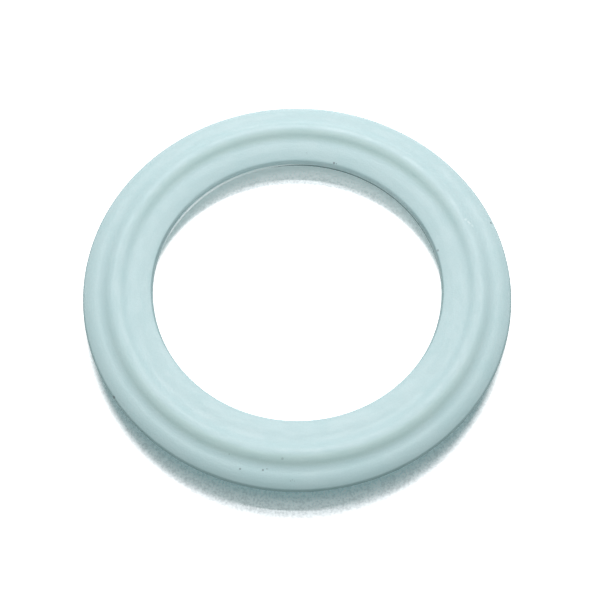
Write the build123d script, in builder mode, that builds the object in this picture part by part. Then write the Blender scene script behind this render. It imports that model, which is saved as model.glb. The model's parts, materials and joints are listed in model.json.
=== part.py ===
"""Sanitary clamp gasket for 1.5 inch tube, moulded in one piece from silicone rubber.

The gasket is a flat ring with a low round bead on each face. The beads centre it in the
grooves of two clamp ferrules, and the web between bead and bore is squeezed between their
faces. Both lips are soft: each falls away in one shallow arc, which rolls into the edge of
the bore or of the rim. The section is the same on both sides of the mid-plane, so the
gasket fits either way up.

Frame: origin on the axis at the mid-plane of the web, +Z along the axis. The gasket lies
flat, and rests on the crest of its lower bead. All lengths are in millimetres.
"""

from build123d import *
from math import acos, atan, degrees, radians, sin
import os

# ---- driving dimensions ----------------------------------------------------------------
bead_circle_diameter = 43.6  # crest line of both beads, the ferrules' groove circle
inner_lip = 4.4  # crest line to bore wall, which brings the bore to the tube's 34.8
outer_lip = 3.9  # crest line to rim, just past the edge of a 50.5 ferrule flange
web_thickness = 1.9  # flat ring between its two faces
bead_height = 0.65  # crest of a bead above the web's face
bead_radius = 1.8  # rounding of the crest, seen in the section
root_radius = 2.0  # blend from the web's face into a bead's flank
inner_face_width = 0.6  # flat ring left between the bead's foot and the bore's shoulder
bore_wall_length = 0.6  # straight wall of the bore, along the axis
bore_edge_radius = 0.4  # edge at each mouth of the bore
rim_land = 0.1  # straight band left on the rim at the mould's parting line
rim_edge_radius = 0.35  # edge between the crown of the outer lip and the rim land

# ---- sizes that follow -----------------------------------------------------------------
bead_crest_radius = bead_circle_diameter / 2
bore_radius = bead_crest_radius - inner_lip
rim_radius = bead_crest_radius + outer_lip
face_height = web_thickness / 2
bore_wall_top = bore_wall_length / 2

# The flank of a bead is two tangent arcs, the root blend and then the crest. They turn
# through the same angle, so that the crest comes out level at the bead's height.
flank_radius = root_radius + bead_radius
flank_angle = degrees(acos(1 - bead_height / flank_radius))
bead_foot = flank_radius * sin(radians(flank_angle))


def lip_arc(width, drop, edge_radius):
    """Radius and angle of the shallow arc that leaves the web level and ends in the edge arc.

    The two arcs are tangent, turn through 90 degrees together, and cover the width and the
    drop from the web's face to the lip's end. All that the edge leaves of both is the
    chord of one arc, whose slope is half the angle that the arc turns through.
    """
    angle = 2 * atan((drop - edge_radius) / (width - edge_radius))
    return edge_radius + (width - edge_radius) / sin(angle), degrees(angle)


shoulder_radius, shoulder_angle = lip_arc(
    inner_lip - bead_foot - inner_face_width, face_height - bore_wall_top, bore_edge_radius
)
crown_radius, crown_angle = lip_arc(
    outer_lip - bead_foot, face_height - rim_land / 2, rim_edge_radius
)

# ---- the gasket ------------------------------------------------------------------------
with BuildPart() as gasket:
    with BuildSketch(Plane.XZ) as section:
        with BuildLine() as outline:
            # Upper half, from the bore out to the rim.
            bore_edge = JernArc(
                (bore_radius, bore_wall_top), (0, 1), bore_edge_radius, shoulder_angle - 90
            )
            shoulder = JernArc(bore_edge @ 1, bore_edge % 1, shoulder_radius, -shoulder_angle)
            inner_face = Line(shoulder @ 1, (bead_crest_radius - bead_foot, face_height))
            inner_root = JernArc(inner_face @ 1, inner_face % 1, root_radius, flank_angle)
            crest = JernArc(inner_root @ 1, inner_root % 1, bead_radius, -2 * flank_angle)
            outer_root = JernArc(crest @ 1, crest % 1, root_radius, flank_angle)
            crown = JernArc(outer_root @ 1, outer_root % 1, crown_radius, -crown_angle)
            rim_edge = JernArc(crown @ 1, crown % 1, rim_edge_radius, crown_angle - 90)
            # The lower half is the same, and the bore wall and rim land join the two.
            mirror(about=Plane.XZ)
            Line((bore_radius, -bore_wall_top), (bore_radius, bore_wall_top))
            Line((rim_radius, rim_land / 2), (rim_radius, -rim_land / 2))
        make_face()
    revolve(axis=Axis.Z)

gasket.part.label = "gasket"
os.makedirs("parts", exist_ok=True)
export_step(gasket.part, "parts/gasket.step")
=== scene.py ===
"""A sanitary clamp gasket in pale aqua silicone, lying flat on a white table.

The gasket is one moulded ring, so it is one surface: its section, carried once round the
axis. The table, a long lamp behind the ring, a soft box above it and a pale dome make up
the studio. Lengths are in metres, unless a comment says millimetres. Azimuths are in
degrees, from +X towards +Y.
"""

import json
import math

import bpy
import numpy as np
from mathutils import Matrix, Vector


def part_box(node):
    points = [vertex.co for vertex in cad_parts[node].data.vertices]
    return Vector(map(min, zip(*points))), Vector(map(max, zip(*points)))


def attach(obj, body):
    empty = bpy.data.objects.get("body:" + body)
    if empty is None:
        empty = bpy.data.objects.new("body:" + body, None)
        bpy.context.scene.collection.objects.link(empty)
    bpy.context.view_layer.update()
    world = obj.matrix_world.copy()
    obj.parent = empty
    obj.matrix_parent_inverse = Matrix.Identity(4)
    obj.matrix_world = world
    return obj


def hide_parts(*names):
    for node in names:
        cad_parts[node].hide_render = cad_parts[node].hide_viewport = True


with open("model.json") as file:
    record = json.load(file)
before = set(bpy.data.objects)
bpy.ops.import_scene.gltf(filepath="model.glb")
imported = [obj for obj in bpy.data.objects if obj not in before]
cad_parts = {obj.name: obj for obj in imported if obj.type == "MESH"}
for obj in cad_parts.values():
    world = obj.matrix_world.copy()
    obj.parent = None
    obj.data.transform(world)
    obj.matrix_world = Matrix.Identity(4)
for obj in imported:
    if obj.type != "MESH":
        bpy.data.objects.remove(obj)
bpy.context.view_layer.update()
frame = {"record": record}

MM = 0.001

# ---- sizes of the ring, from the frame -------------------------------------------------
mounts = {mount["name"]: mount for mount in frame["record"]["mounts"]}
ring_low, ring_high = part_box("gasket")
RIM_RADIUS = ring_high.x
CREST_HEIGHT = ring_high.z
BORE_RADIUS = mounts["bore"]["dims"]["r_mm"] * MM
BORE_BAND = mounts["bore"]["dims"]["length_mm"] * MM
FACE_HEIGHT = mounts["upper_face"]["pos_m"][2]
TABLE_HEIGHT = ring_low.z

# ---- sizes of the section that the frame doesn't give -----------------------------------
BEAD_CIRCLE_RADIUS = 21.8 * MM
BEAD_RADIUS = 1.8 * MM
ROOT_RADIUS = 2.0 * MM
INNER_FACE_WIDTH = 0.6 * MM
BORE_EDGE_RADIUS = 0.4 * MM
RIM_EDGE_RADIUS = 0.35 * MM
RIM_LAND = 0.1 * MM

# The free inner lip hangs a little, from nothing at the first radius to DROOP at the second.
DROOP = 0.20 * MM
DROOP_START = 20.1 * MM
DROOP_END = 18.0 * MM

# The mould closes at mid-height. It leaves a fine fin in the bore and a fine ridge on the rim.
SEAM_WIDTH = 0.065 * MM
BORE_FIN = 0.30 * MM
RIM_RIDGE = 0.03 * MM

# The fin is tallest at one azimuth, and sinks to its least share of that on either side.
FIN_AZIMUTH = 125.0
FIN_SPREAD = 34.0
FIN_LEAST = 0.12

STEPS_AROUND = 540


def from_spherical(azimuth, elevation, distance):
    """The point at an azimuth, an elevation in degrees and a distance from the origin."""
    azimuth, elevation = math.radians(azimuth), math.radians(elevation)
    flat = distance * math.cos(elevation)
    return (flat * math.cos(azimuth), flat * math.sin(azimuth), distance * math.sin(elevation))


def arc(centre, radius, start, end, steps):
    """Points (r, z) on a circle about centre, from angle start to angle end in degrees."""
    angle = np.radians(np.linspace(start, end, steps + 1))
    return np.stack([centre[0] + radius * np.cos(angle), centre[1] + radius * np.sin(angle)], 1)


def straight(start, end, steps, crowd=1.0):
    """Points (r, z) from start to end. Crowd above 1 draws them towards the start."""
    t = np.linspace(0, 1, steps + 1)[:, None] ** crowd
    return np.asarray(start) * (1 - t) + np.asarray(end) * t


def lip_arc(width, drop, edge_radius):
    """Radius and angle of the shallow arc of a lip, which leaves the web level.

    It ends tangent to the edge's arc, and the two turn through 90 degrees together and
    cover the width and the drop. The tangent of half its angle is what the edge leaves of
    the drop, over what the edge leaves of the width.
    """
    angle = 2 * math.atan((drop - edge_radius) / (width - edge_radius))
    return edge_radius + (width - edge_radius) / math.sin(angle), math.degrees(angle)


def upper_half():
    """The section's upper half, from the bore's mid-height out to the rim's.

    Bore wall, edge, shoulder, inner face, root, bead crest, root, crown, edge and rim land.
    The root and the crest are tangent arcs that turn through the same angle, whose cosine
    is 1 - bead height / sum of their radii.
    """
    bead_height = CREST_HEIGHT - FACE_HEIGHT
    flank_radius = ROOT_RADIUS + BEAD_RADIUS
    flank = math.degrees(math.acos(1 - bead_height / flank_radius))
    foot = flank_radius * math.sin(math.radians(flank))
    inner_foot = BEAD_CIRCLE_RADIUS - foot
    outer_foot = BEAD_CIRCLE_RADIUS + foot
    shoulder_start = inner_foot - INNER_FACE_WIDTH
    shoulder_radius, shoulder = lip_arc(
        shoulder_start - BORE_RADIUS, FACE_HEIGHT - BORE_BAND / 2, BORE_EDGE_RADIUS
    )
    crown_radius, crown = lip_arc(
        RIM_RADIUS - outer_foot, FACE_HEIGHT - RIM_LAND / 2, RIM_EDGE_RADIUS
    )
    bore_edge_centre = (BORE_RADIUS + BORE_EDGE_RADIUS, BORE_BAND / 2)
    shoulder_centre = (shoulder_start, FACE_HEIGHT - shoulder_radius)
    crest_centre = (BEAD_CIRCLE_RADIUS, CREST_HEIGHT - BEAD_RADIUS)
    crown_centre = (outer_foot, FACE_HEIGHT - crown_radius)
    rim_edge_centre = (RIM_RADIUS - RIM_EDGE_RADIUS, RIM_LAND / 2)
    root_height = FACE_HEIGHT + ROOT_RADIUS
    runs = [
        straight((BORE_RADIUS, 0), (BORE_RADIUS, BORE_BAND / 2), steps=12, crowd=1.6),
        arc(bore_edge_centre, BORE_EDGE_RADIUS, 180, 90 + shoulder, steps=6),
        arc(shoulder_centre, shoulder_radius, 90 + shoulder, 90, steps=8),
        straight((shoulder_start, FACE_HEIGHT), (inner_foot, FACE_HEIGHT), steps=2),
        arc((inner_foot, root_height), ROOT_RADIUS, -90, flank - 90, steps=9),
        arc(crest_centre, BEAD_RADIUS, 90 + flank, 90 - flank, steps=18),
        arc((outer_foot, root_height), ROOT_RADIUS, -90 - flank, -90, steps=9),
        arc(crown_centre, crown_radius, 90, 90 - crown, steps=11),
        arc(rim_edge_centre, RIM_EDGE_RADIUS, 90 - crown, 0, steps=6),
        straight((RIM_RADIUS, 0), (RIM_RADIUS, RIM_LAND / 2), steps=3)[::-1],
    ]
    return np.concatenate([run[:-1] for run in runs] + [runs[-1][-1:]])


def whole_section():
    """The closed section as (r, z) points: the upper half, then its mirror image back."""
    upper = upper_half()
    lower = upper[-2:0:-1] * [1, -1]
    return np.concatenate([upper, lower])


def droop(radius):
    """How far the lip hangs at a distance from the axis.

    It is DROOP * t * t * (3 - 2 * t), where t goes from 0 to 1 between the two radii.
    """
    t = np.clip((DROOP_START - radius) / (DROOP_START - DROOP_END), 0, 1)
    return DROOP * t * t * (3 - 2 * t)


def ring_mesh(name):
    """The section carried once round the axis, with its lip hanging and the mould's seam.

    The section gives a radius r and a height z at each of its places. At angle a, in
    radians, the surface stands at radius r + seam and at height z - droop(r). The seam is
    a bell about mid-height, exp(-(z / SEAM_WIDTH) ** 2), times its height there: the fin's
    share of BORE_FIN, pointing inwards, in the bore, and RIM_RIDGE on the rim.
    """
    section = whole_section()
    around = np.linspace(0, 2 * np.pi, STEPS_AROUND, endpoint=False)
    a, radius = np.meshgrid(around, section[:, 0], indexing="ij")
    height = np.broadcast_to(section[:, 1], a.shape)
    bell = np.exp(-((height / SEAM_WIDTH) ** 2))
    in_bore = radius < BEAD_CIRCLE_RADIUS
    fin = fin_share(a) * BORE_FIN
    height = height - droop(radius)
    radius = radius + bell * np.where(in_bore, -fin, RIM_RIDGE)
    points = np.stack([radius * np.cos(a), radius * np.sin(a), height], 2).reshape(-1, 3)
    return closed_grid(name, points, STEPS_AROUND, len(section))


def fin_share(a):
    """How much of the fin is left at each angle a in radians, as a share of its full height.

    It is least + (1 - least) * exp(-t ** 4), where t is how far the angle is from the fin's
    azimuth, over its spread.
    """
    left = np.exp(-(((np.degrees(a) - FIN_AZIMUTH) / FIN_SPREAD) ** 4))
    return FIN_LEAST + (1 - FIN_LEAST) * left


def closed_grid(name, points, rows, columns):
    """A mesh of quads on a grid that closes on itself both ways, wound to face outwards."""
    i, j = np.meshgrid(np.arange(rows), np.arange(columns), indexing="ij")
    i2, j2 = (i + 1) % rows, (j + 1) % columns
    quads = np.stack(
        [i * columns + j, i * columns + j2, i2 * columns + j2, i2 * columns + j], 2
    ).reshape(-1, 4)
    mesh = bpy.data.meshes.new(name)
    mesh.from_pydata(points, [], quads)
    mesh.polygons.foreach_set("use_smooth", np.ones(len(quads), bool))
    mesh.update()
    piece = bpy.data.objects.new(name, mesh)
    bpy.context.scene.collection.objects.link(piece)
    return piece


# ---- node helpers ----------------------------------------------------------------------
def fill(tree, sockets, values):
    """Gives each socket its value: a number, a colour or another node's output."""
    for socket, value in zip(sockets, values):
        if isinstance(value, bpy.types.NodeSocket):
            tree.links.new(value, socket)
        else:
            socket.default_value = value


def calc(tree, operation, *values):
    """The output of one Math node."""
    made = tree.nodes.new("ShaderNodeMath")
    made.operation = operation
    fill(tree, made.inputs, values)
    return made.outputs[0]


def vector(tree, operation, *values):
    """The output of one Vector Math node: a number for a length, distance or dot product."""
    made = tree.nodes.new("ShaderNodeVectorMath")
    made.operation = operation
    fill(tree, made.inputs, values)
    number = operation in ("LENGTH", "DISTANCE", "DOT_PRODUCT")
    return made.outputs["Value" if number else "Vector"]


def join_xyz(tree, x, y, z):
    """A vector from three numbers."""
    made = tree.nodes.new("ShaderNodeCombineXYZ")
    fill(tree, made.inputs, (x, y, z))
    return made.outputs[0]


def ramp(tree, value, low, high, at_low=0.0, at_high=1.0):
    """Value carried smoothly from at_low to at_high between low and high, and held outside."""
    made = tree.nodes.new("ShaderNodeMapRange")
    made.interpolation_type = "SMOOTHSTEP"
    fill(tree, made.inputs, (value, low, high, at_low, at_high))
    return made.outputs[0]


def fade(tree, value, full, gone, strength=1.0):
    """Strength where value is under full, falling smoothly to 0 where it is over gone."""
    return ramp(tree, value, full, gone, strength, 0.0)


def band(tree, value, middle, full, gone):
    """1 where value is nearer than full to the middle, falling to 0 where it is past gone."""
    away = calc(tree, "ABSOLUTE", calc(tree, "SUBTRACT", value, middle))
    return fade(tree, away, full, gone)


def overlap(tree, first, *others):
    """The product of some shares, which is 1 only where each of them is 1."""
    for share in others:
        first = calc(tree, "MULTIPLY", first, share)
    return first


def noise(tree, place, fineness, detail=2.0):
    """Smooth noise, mostly between 0.3 and 0.7, with fineness cells to the metre."""
    made = tree.nodes.new("ShaderNodeTexNoise")
    fill(tree, (made.inputs["Vector"], made.inputs["Scale"]), (place, fineness))
    made.inputs["Detail"].default_value = detail
    return made.outputs["Fac"]


def patches(tree, place, fineness, start, full, detail=2.0):
    """Uneven patches: 0 where the noise is under start, and 1 where it is over full."""
    return ramp(tree, noise(tree, place, fineness, detail), start, full)


def blend(tree, share, first, second, kind="MIX"):
    """The first colour where share is 0, and the second where it is 1."""
    mix = tree.nodes.new("ShaderNodeMix")
    mix.data_type = "RGBA"
    mix.blend_type = kind
    colours = [(*c, 1) if isinstance(c, tuple) else c for c in (first, second)]
    fill(tree, (mix.inputs[0], mix.inputs[6], mix.inputs[7]), (share, *colours))
    return mix.outputs[2]


def tint(tree, colour, share, factor):
    """Colour as it is where share is 0, and times factor where share is 1."""
    return blend(tree, share, colour, factor, "MULTIPLY")


def scaled(tree, colour, amount):
    """A colour times a number."""
    made = vector(tree, "SCALE", colour)
    tree.links.new(amount, made.node.inputs["Scale"])
    return made


# ---- silicone --------------------------------------------------------------------------
AQUA = (0.58, 0.76, 0.78)
ROUGHNESS_BETWEEN_STREAKS = 0.47
ROUGHNESS_IN_STREAKS = 0.53
RELIEF_DEPTH = 0.006 * MM
GRAIN_RELIEF = 0.6  # the grain's share of the streaks' depth

# Light in the rubber: the share that enters, how far each colour goes, and the scale of that.
SOFT_SHARE = 0.1
SOFT_REACH = (1.0, 1.2, 1.2)
SOFT_DEPTH = 0.4 * MM

# What each pattern and mark multiplies the colour by.
MOTTLE_TINT = (0.965, 0.985, 0.985)
STREAK_TINT = (0.975, 0.985, 0.985)
GRAIN_TINT = (0.97, 0.975, 0.975)
# Painted highlight: a lighter line along the bead's crest.
CREST_HIGHLIGHT_TINT = (1.06, 1.05, 1.05)
# Painted shade: a greener tint on the bead's slopes that face forward.
FORWARD_SHADE_TINT = (1.0, 1.0, 0.965)
# Painted shade: a dark line round the rim, at the seam.
RIM_SHADE_TINT = (0.50, 0.58, 0.58)
# Painted shade: a dark line low on the bore wall, under the fin.
BORE_SHADE_TINT = (0.38, 0.43, 0.43)
# Painted shade: darker bore walls where they face sideways.
SIDE_WALL_SHADE_TINT = (0.58, 0.64, 0.64)
# Painted highlight: the fin made paler than the rubber.
FIN_HIGHLIGHT_TINT = (1.50, 1.27, 1.25)
SPECK_TINT = (0.30, 0.30, 0.32)
# Painted highlight: a short pale row of spots on the bead's outer flank.
FLANK_GLINT_TINT = (1.28, 1.17, 1.16)

# How fine each pattern is, in noise cells to the metre.
MOTTLE_FINENESS = 0.22 / MM
STREAK_FINENESS = 1.3 / MM
GRAIN_FINENESS = 5.0 / MM
CREST_HIGHLIGHT_FINENESS = 1.0 / MM
SPOT_FINENESS = 1.6 / MM

# The noise of the streaks is read on a circle of this radius. The ring's own radius is
# larger, which draws the noise out into streaks.
STREAK_CIRCLE = 6 * MM

# Middles of the painted highlight on the crest and the painted shade on the slopes, rim and
# bore, as distances from the axis and heights above mid-plane.
CREST_HIGHLIGHT_RADIUS = BEAD_CIRCLE_RADIUS + 0.15 * MM
INNER_SLOPE = 20.9 * MM
OUTER_SLOPE = 22.5 * MM
RIM_SHADE_HEIGHT = 0.12 * MM
BORE_SHADE_HEIGHT = -DROOP - 0.37 * MM

# Dark specks, set to half a degree and a tenth of a millimetre: azimuth, distance from the
# axis and radius of the speck in millimetres, share of the dark.
SPECKS = [
    (75.0, 17.7, 0.13, 0.80),
    (74.0, 17.7, 0.09, 0.50),
    (19.5, 25.3, 0.15, 0.90),
    (215.0, 25.6, 0.18, 0.85),
    (255.0, 24.2, 0.12, 0.60),
    (261.0, 23.8, 0.12, 0.70),
    (262.0, 23.6, 0.08, 0.40),
    (269.0, 24.6, 0.07, 0.35),
    (268.5, 24.7, 0.07, 0.35),
    (269.5, 24.7, 0.06, 0.30),
    (266.0, 22.4, 0.16, 0.30),
    (251.0, 23.0, 0.09, 0.30),
    (86.5, 18.5, 0.08, 0.35),
    (15.0, 17.7, 0.15, 0.55),
]

# A short painted highlight on the outer flank of the bead, as a row of spots: azimuth, and
# distance from the axis in millimetres.
FLANK_GLINT_SPOTS = [(22.0, 22.2), (21.0, 22.4), (20.5, 22.5), (19.5, 22.7)]
FLANK_GLINT_SIZE = 0.16 * MM
FLANK_GLINT_STRENGTH = 0.8

# A spot is full out to its core plus the first share of its size, and gone at the second.
SPOT_CORE = 0.05 * MM
SPOT_FULL = 0.6
SPOT_GONE = 1.3
SPOT_RAGGEDNESS = 0.10 * MM


def section_height(radius):
    """Height of the upper surface at a distance from the axis, between bore and rim.

    It is read from the points past the bore wall, because those of the wall share a radius.
    """
    upper = upper_half()
    tolerance = 0.001 * MM
    past_wall = upper[:, 0] > BORE_RADIUS + tolerance
    return float(np.interp(radius, upper[past_wall, 0], upper[past_wall, 1]) - droop(radius))


def spot(tree, place, ragged, azimuth, radius, size, strength):
    """Strength at a point of the upper surface, falling to 0 at about its size away.

    Ragged is a small uneven length that is added to the distance.
    """
    flat_x, flat_y, _ = from_spherical(azimuth, 0, radius)
    away = vector(tree, "DISTANCE", place, (flat_x, flat_y, section_height(radius)))
    away = calc(tree, "ADD", away, ragged)
    return fade(tree, away, SPOT_CORE + SPOT_FULL * size, SPOT_CORE + SPOT_GONE * size, strength)


def add_specks(tree, colour, place):
    """Small dark inclusions, and a short painted highlight, as soft spots on the upper surface.
    """
    ragged = calc(tree, "MULTIPLY", noise(tree, place, SPOT_FINENESS), SPOT_RAGGEDNESS)
    for azimuth, radius, size, dark in SPECKS:
        share = spot(tree, place, ragged, azimuth, radius * MM, size * MM, dark)
        colour = tint(tree, colour, share, SPECK_TINT)
    # Painted highlight: lighter spots in a short row on the outer flank.
    for azimuth, radius in FLANK_GLINT_SPOTS:
        share = spot(tree, place, ragged, azimuth, radius * MM, FLANK_GLINT_SIZE, FLANK_GLINT_STRENGTH)
        colour = tint(tree, colour, share, FLANK_GLINT_TINT)
    return colour


def add_bead_highlight_and_shade(tree, colour, radius, direction, streak_place):
    """A painted highlight along the crest, and a painted shade tint on the slopes of the bead
    that face forward.

    Those are the outer slope at the front of the ring and the inner one at its back.
    """
    # Painted highlight along the crest, in patches.
    crest = band(tree, radius, CREST_HIGHLIGHT_RADIUS, full=0.05 * MM, gone=0.40 * MM)
    crest_highlight_patches = patches(tree, streak_place, CREST_HIGHLIGHT_FINENESS, start=0.35, full=0.55)
    colour = tint(tree, colour, overlap(tree, crest, crest_highlight_patches), CREST_HIGHLIGHT_TINT)
    # Painted shade: a greener tint on the slopes of the bead that face forward.
    forward = vector(tree, "DOT_PRODUCT", direction, (0, -1, 0))
    for slope, way in ((INNER_SLOPE, -1.0), (OUTER_SLOPE, 1.0)):
        facing = ramp(tree, calc(tree, "MULTIPLY", forward, way), low=0.1, high=0.9)
        near = band(tree, radius, slope, full=0.3 * MM, gone=0.9 * MM)
        colour = tint(tree, colour, overlap(tree, facing, near), FORWARD_SHADE_TINT)
    return colour


def add_seam_shade_and_highlight(tree, colour, radius, direction, height):
    """Painted shade: dark lines on the rim and under the fin, and darker bore walls at both
    sides. A painted highlight: a pale fin.

    The bore's radius parts the two last: the wall stands at it, and the fin inside it.
    """
    # Painted shade: a dark line round the rim, just above mid-height.
    rim = ramp(tree, radius, low=RIM_RADIUS - 0.30 * MM, high=RIM_RADIUS - 0.15 * MM)
    rim_shade_line = band(tree, height, RIM_SHADE_HEIGHT, full=0.10 * MM, gone=0.34 * MM)
    colour = tint(tree, colour, overlap(tree, rim, rim_shade_line), RIM_SHADE_TINT)

    # Painted shade: a dark line along the bore wall, under the fin.
    bore = fade(tree, radius, full=BORE_RADIUS + 0.10 * MM, gone=BORE_RADIUS + 0.25 * MM)
    bore_shade_line = band(tree, height, BORE_SHADE_HEIGHT, full=0.12 * MM, gone=0.34 * MM)
    colour = tint(tree, colour, overlap(tree, bore, bore_shade_line), BORE_SHADE_TINT)

    # Painted shade: the bore wall darker where it faces along X.
    wall = ramp(tree, radius, low=BORE_RADIUS - 0.03 * MM, high=BORE_RADIUS - 0.01 * MM)
    sideways = calc(tree, "ABSOLUTE", vector(tree, "DOT_PRODUCT", direction, (1, 0, 0)))
    side_shade = ramp(tree, sideways, low=0.72, high=0.97)
    colour = tint(tree, colour, overlap(tree, bore, wall, side_shade), SIDE_WALL_SHADE_TINT)

    # Painted highlight on the fin, which stands inside the bore's radius.
    fin = fade(tree, radius, full=BORE_RADIUS - 0.12 * MM, gone=BORE_RADIUS - 0.03 * MM)
    return tint(tree, colour, fin, FIN_HIGHLIGHT_TINT)


def silicone():
    """Pale aqua silicone rubber: satin, faintly mottled, with moulding streaks, dark specks, and
    painted highlights and shade.

    Streak place is (direction from the axis times the streaks' circle, distance from the
    axis), so the noise that reads it runs in long streaks round the ring.
    """
    material = bpy.data.materials.new("aqua silicone")
    material.use_nodes = True
    tree = material.node_tree
    shader = tree.nodes["Principled BSDF"]
    place = tree.nodes.new("ShaderNodeTexCoord").outputs["Object"]
    parts = tree.nodes.new("ShaderNodeSeparateXYZ")
    tree.links.new(place, parts.inputs[0])
    x, y, z = parts.outputs
    flat = join_xyz(tree, x, y, 0.0)
    radius = vector(tree, "LENGTH", flat)
    direction = vector(tree, "NORMALIZE", flat)
    circle = vector(tree, "MULTIPLY", direction, (STREAK_CIRCLE, STREAK_CIRCLE, 0))
    streak_place = vector(tree, "ADD", circle, join_xyz(tree, 0.0, 0.0, radius))

    mottle = patches(tree, place, MOTTLE_FINENESS, start=0.35, full=0.65, detail=3.0)
    streak = patches(tree, streak_place, STREAK_FINENESS, start=0.40, full=0.62, detail=3.0)
    grain = patches(tree, place, GRAIN_FINENESS, start=0.30, full=0.70)
    colour = tint(tree, AQUA, mottle, MOTTLE_TINT)
    colour = tint(tree, colour, streak, STREAK_TINT)
    colour = tint(tree, colour, grain, GRAIN_TINT)
    colour = add_bead_highlight_and_shade(tree, colour, radius, direction, streak_place)
    colour = add_seam_shade_and_highlight(tree, colour, radius, direction, z)
    colour = add_specks(tree, colour, place)
    tree.links.new(colour, shader.inputs["Base Color"])

    rough = ramp(tree, streak, 0.0, 1.0, ROUGHNESS_BETWEEN_STREAKS, ROUGHNESS_IN_STREAKS)
    tree.links.new(rough, shader.inputs["Roughness"])
    bump = tree.nodes.new("ShaderNodeBump")
    bump.inputs["Strength"].default_value = 1.0
    bump.inputs["Distance"].default_value = RELIEF_DEPTH
    relief = calc(tree, "ADD", streak, calc(tree, "MULTIPLY", grain, GRAIN_RELIEF))
    tree.links.new(relief, bump.inputs["Height"])
    tree.links.new(bump.outputs[0], shader.inputs["Normal"])
    shader.inputs["Subsurface Weight"].default_value = SOFT_SHARE
    shader.inputs["Subsurface Radius"].default_value = SOFT_REACH
    shader.inputs["Subsurface Scale"].default_value = SOFT_DEPTH
    return material


# ---- studio ----------------------------------------------------------------------------
TABLE_SIZE = 3.0
TABLE_BOUNCE = (0.75, 0.75, 0.75)
TABLE_SEEN = (0.92, 0.98, 1.0)
TABLE_FINENESS = 4.0 / MM
TABLE_DARKEST = 0.82
TABLE_LIGHTEST = 1.09

# What lifts the table in the ring's shadow: one lift inside the first radius, another
# outside the second, and both in proportion to the sky that is hidden within reach.
BORE_LIFT = (0.28, 0.36, 0.36)
TABLE_LIFT = (0.04, 0.12, 0.13)
BORE_LIFT_END = 19 * MM
TABLE_LIFT_START = 23 * MM
SKY_REACH = 20 * MM

# The glow outside the shadow, and how far from the shadow's two outlines it starts and is
# full. The spreads narrow the shadow along X, from outside and from inside.
BACKDROP_GLOW = (0.95, 0.90, 0.90)
SHADOW_SHIFT = 1.7 * MM
OUTER_SPREAD = 1.06
OUTER_GLOW_START = 0.2 * MM
OUTER_GLOW_FULL = 1.9 * MM
INNER_SPREAD = 0.93
INNER_GLOW_START = -0.2 * MM
INNER_GLOW_FULL = -1.0 * MM

# Angles in degrees, and the lens in millimetres.
CAMERA_DISTANCE = 140.77 * MM
CAMERA_ELEVATION = 63.07
CAMERA_AIM = (0.33 * MM, -2.0 * MM, 0.0)
CAMERA_ROLL = 0.52
CAMERA_LENS = 70.1
CAMERA_CLIP = 10 * MM

LAMP_AZIMUTH = 86.0
LAMP_ELEVATION = 48.8
LAMP_DISTANCE = 500 * MM
LAMP_LENGTH = 400 * MM
LAMP_WIDTH = 20 * MM
LAMP_POWER = 1.41
LAMP_COLOUR = (1.09, 1.0, 1.02)

BOX_PLACE = (0, 30 * MM, 120 * MM)
BOX_SIZE = 80 * MM
BOX_POWER = 0.027

DOME_COLOUR = (0.88, 1.0, 0.99, 1)
DOME_STRENGTH = 0.36


def look_at(thing, target, roll=0.0):
    """Turns a camera or lamp, whose view is along its own -Z, towards a target point.

    Roll is a further turn about that view, in degrees.
    """
    direction = Vector(target) - thing.location
    turn = direction.to_track_quat("-Z", "Y").to_matrix()
    turn = turn @ Matrix.Rotation(math.radians(roll), 3, "Z")
    thing.rotation_euler = turn.to_euler()


def seen_rays(tree):
    """1 for a ray that shows the background: from the camera, a reflection or clear glass."""
    path = tree.nodes.new("ShaderNodeLightPath").outputs
    mirrored = calc(tree, "MAXIMUM", path["Is Glossy Ray"], path["Is Transmission Ray"])
    return calc(tree, "MAXIMUM", path["Is Camera Ray"], mirrored)


def shadow_radius(tree, flat, spread):
    """Distance from the middle of the ring's shadow, with the length along X times spread.

    The middle is shifted away from the long lamp. A spread above 1 draws an outline in
    along X, and one below 1 lets it out.
    """
    middle = from_spherical(LAMP_AZIMUTH, 0, -SHADOW_SHIFT)
    return vector(tree, "DISTANCE", vector(tree, "MULTIPLY", flat, (spread, 1, 1)), middle)


def table_glow(tree, flat, seen):
    """The light that the table adds of its own, to the rays that see it.

    Outside the shadow it is the full glow. In the shadow it is the lift, times the share
    of the sky that the ring hides, which keeps the shadow even.
    """
    outer = shadow_radius(tree, flat, OUTER_SPREAD)
    outside = ramp(tree, outer, RIM_RADIUS + OUTER_GLOW_START, RIM_RADIUS + OUTER_GLOW_FULL)
    inner = shadow_radius(tree, flat, INNER_SPREAD)
    inside = fade(tree, inner, BORE_RADIUS + INNER_GLOW_FULL, BORE_RADIUS + INNER_GLOW_START)
    away = calc(tree, "MAXIMUM", outside, inside)

    open_sky = tree.nodes.new("ShaderNodeAmbientOcclusion")
    open_sky.inputs["Distance"].default_value = SKY_REACH
    closed = calc(tree, "SUBTRACT", 1.0, open_sky.outputs["AO"])
    past_bead = ramp(tree, vector(tree, "LENGTH", flat), BORE_LIFT_END, TABLE_LIFT_START)
    lift = blend(tree, past_bead, BORE_LIFT, TABLE_LIFT)
    glow = tree.nodes.new("ShaderNodeEmission")
    glow_colour = blend(tree, away, scaled(tree, lift, closed), BACKDROP_GLOW)
    fill(tree, glow.inputs, (glow_colour, seen))
    return glow.outputs[0]


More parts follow.
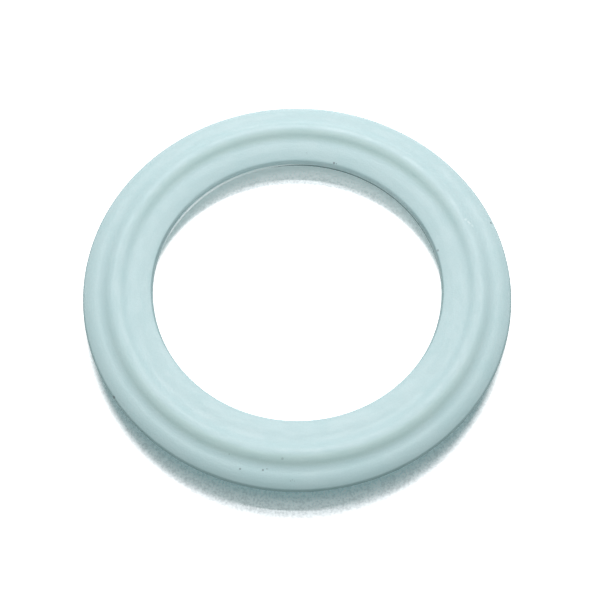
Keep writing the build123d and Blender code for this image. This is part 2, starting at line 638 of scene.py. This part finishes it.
def white_table():
    """Matt white with a fine grain, where it is seen. Bounced light meets a light grey."""
    material = bpy.data.materials.new("white table")
    material.use_nodes = True
    tree = material.node_tree
    tree.nodes.remove(tree.nodes["Principled BSDF"])
    seen = seen_rays(tree)
    place = tree.nodes.new("ShaderNodeTexCoord").outputs["Object"]
    flat = vector(tree, "MULTIPLY", place, (1, 1, 0))

    level = noise(tree, place, TABLE_FINENESS)
    grain = ramp(tree, level, 0.3, 0.7, at_low=TABLE_DARKEST, at_high=TABLE_LIGHTEST)
    colour = blend(tree, seen, TABLE_BOUNCE, TABLE_SEEN)
    paint = tree.nodes.new("ShaderNodeBsdfDiffuse")
    tree.links.new(scaled(tree, colour, grain), paint.inputs["Color"])
    both = tree.nodes.new("ShaderNodeAddShader")
    fill(tree, both.inputs, (paint.outputs[0], table_glow(tree, flat, seen)))
    tree.links.new(both.outputs[0], tree.nodes["Material Output"].inputs["Surface"])
    return material


def add_table():
    """A flat table at the height of the lower bead's crest, which the ring rests on."""
    half = TABLE_SIZE / 2
    corners = [(-half, -half), (half, -half), (half, half), (-half, half)]
    mesh = bpy.data.meshes.new("table")
    mesh.from_pydata([(x, y, TABLE_HEIGHT) for x, y in corners], [], [(0, 1, 2, 3)])
    table = bpy.data.objects.new("table", mesh)
    bpy.context.scene.collection.objects.link(table)
    mesh.materials.append(white_table())


def add_lamp(name, place, length, width, power, colour=(1, 1, 1)):
    """A flat lamp that faces the ring, with its length level."""
    light = bpy.data.lights.new(name, "AREA")
    light.shape = "RECTANGLE"
    light.size = length
    light.size_y = width
    light.energy = power
    light.color = colour
    lamp = bpy.data.objects.new(name, light)
    bpy.context.scene.collection.objects.link(lamp)
    lamp.location = place
    look_at(lamp, (0, 0, 0))


def add_dome():
    """An even pale sky as light, and plain white where it is seen."""
    world = bpy.data.worlds.new("dome")
    world.use_nodes = True
    tree = world.node_tree
    sky = tree.nodes["Background"]
    fill(tree, sky.inputs, (DOME_COLOUR, DOME_STRENGTH))
    white = tree.nodes.new("ShaderNodeBackground")
    fill(tree, white.inputs, ((1, 1, 1, 1), 1.0))
    mix = tree.nodes.new("ShaderNodeMixShader")
    fill(tree, mix.inputs, (seen_rays(tree), sky.outputs[0], white.outputs[0]))
    tree.links.new(mix.outputs[0], tree.nodes["World Output"].inputs["Surface"])
    bpy.context.scene.world = world


def add_camera():
    """The camera, in front of the ring and high above it."""
    data = bpy.data.cameras.new("camera")
    data.lens = CAMERA_LENS
    data.clip_start = CAMERA_CLIP
    camera = bpy.data.objects.new("camera", data)
    bpy.context.scene.collection.objects.link(camera)
    camera.location = from_spherical(-90, CAMERA_ELEVATION, CAMERA_DISTANCE)
    look_at(camera, CAMERA_AIM, CAMERA_ROLL)
    bpy.context.scene.camera = camera


# ---- the gasket and its studio ---------------------------------------------------------
ring = ring_mesh("moulded_ring")
ring.data.materials.append(silicone())
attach(ring, "root")
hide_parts("gasket")

add_table()
lamp_place = from_spherical(LAMP_AZIMUTH, LAMP_ELEVATION, LAMP_DISTANCE)
add_lamp("long lamp", lamp_place, LAMP_LENGTH, LAMP_WIDTH, LAMP_POWER, LAMP_COLOUR)
add_lamp("soft box", BOX_PLACE, BOX_SIZE, BOX_SIZE, BOX_POWER)
add_dome()
add_camera()
bpy.context.scene.view_settings.view_transform = "Standard"
